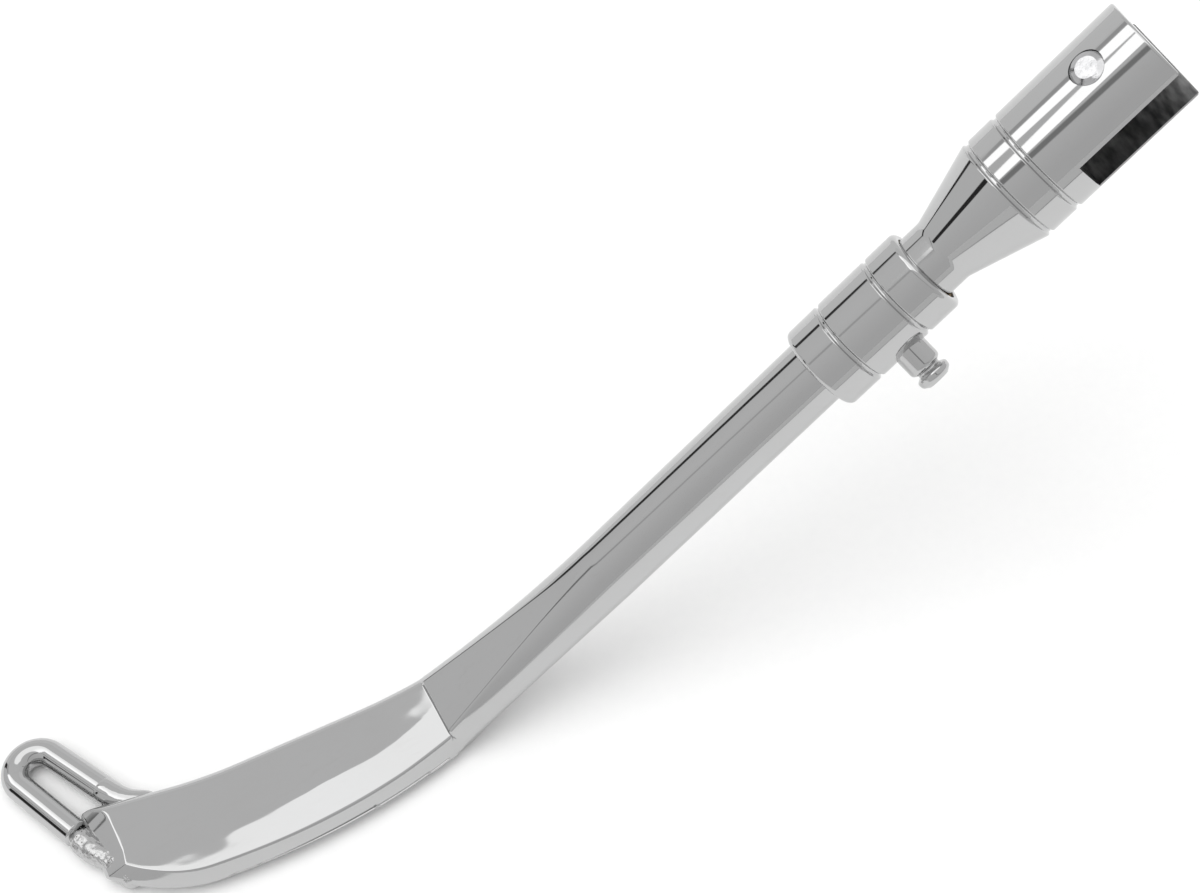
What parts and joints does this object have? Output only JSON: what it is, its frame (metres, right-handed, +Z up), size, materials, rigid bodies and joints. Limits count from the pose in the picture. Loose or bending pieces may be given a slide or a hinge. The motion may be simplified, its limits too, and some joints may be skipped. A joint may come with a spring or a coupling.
{
  "type": "motorcycle side stand",
  "caption": "Chromed side stand leg: slotted clevis head on a cross pin, grooved collar with a spring post, round leg forged flat into a ground blade, and a rod toe loop.",
  "frame": {"origin": "centre of the cross pin, on the axis of the leg", "axes": "+Z up with the stand down and its blade flat on the ground, -X outboard from the pivot to the foot, +Y to the front of the motorcycle"},
  "size_m": [0.3499, 0.0769, 0.1624],
  "materials": {
    "pin_steel": "turned and polished steel",
    "chrome_plate": "bright chrome plate over polished steel",
    "plain_steel": "bare turned steel",
    "braze_metal": "stained braze filler",
    "weld_metal": "rough weld bead under chrome plate"
  },
  "bodies": {
    "pivot": {"pivot_pin": "pin_steel"},
    "stand": {"clevis_head": "chrome_plate", "joint_stud": "plain_steel", "braze_ring": "braze_metal", "collar": "chrome_plate", "spring_post": "chrome_plate", "leg": "chrome_plate", "toe_loop": "chrome_plate", "tip_weld": "weld_metal", "edge_weld": "weld_metal"}
  },
  "joints": [
    {"name": "fold", "type": "hinge", "parent": "pivot", "child": "stand", "pos_m": [0, 0, 0], "axis": [-0.5446, 0, 0.8387], "range_deg": [0, 95]}
  ]
}
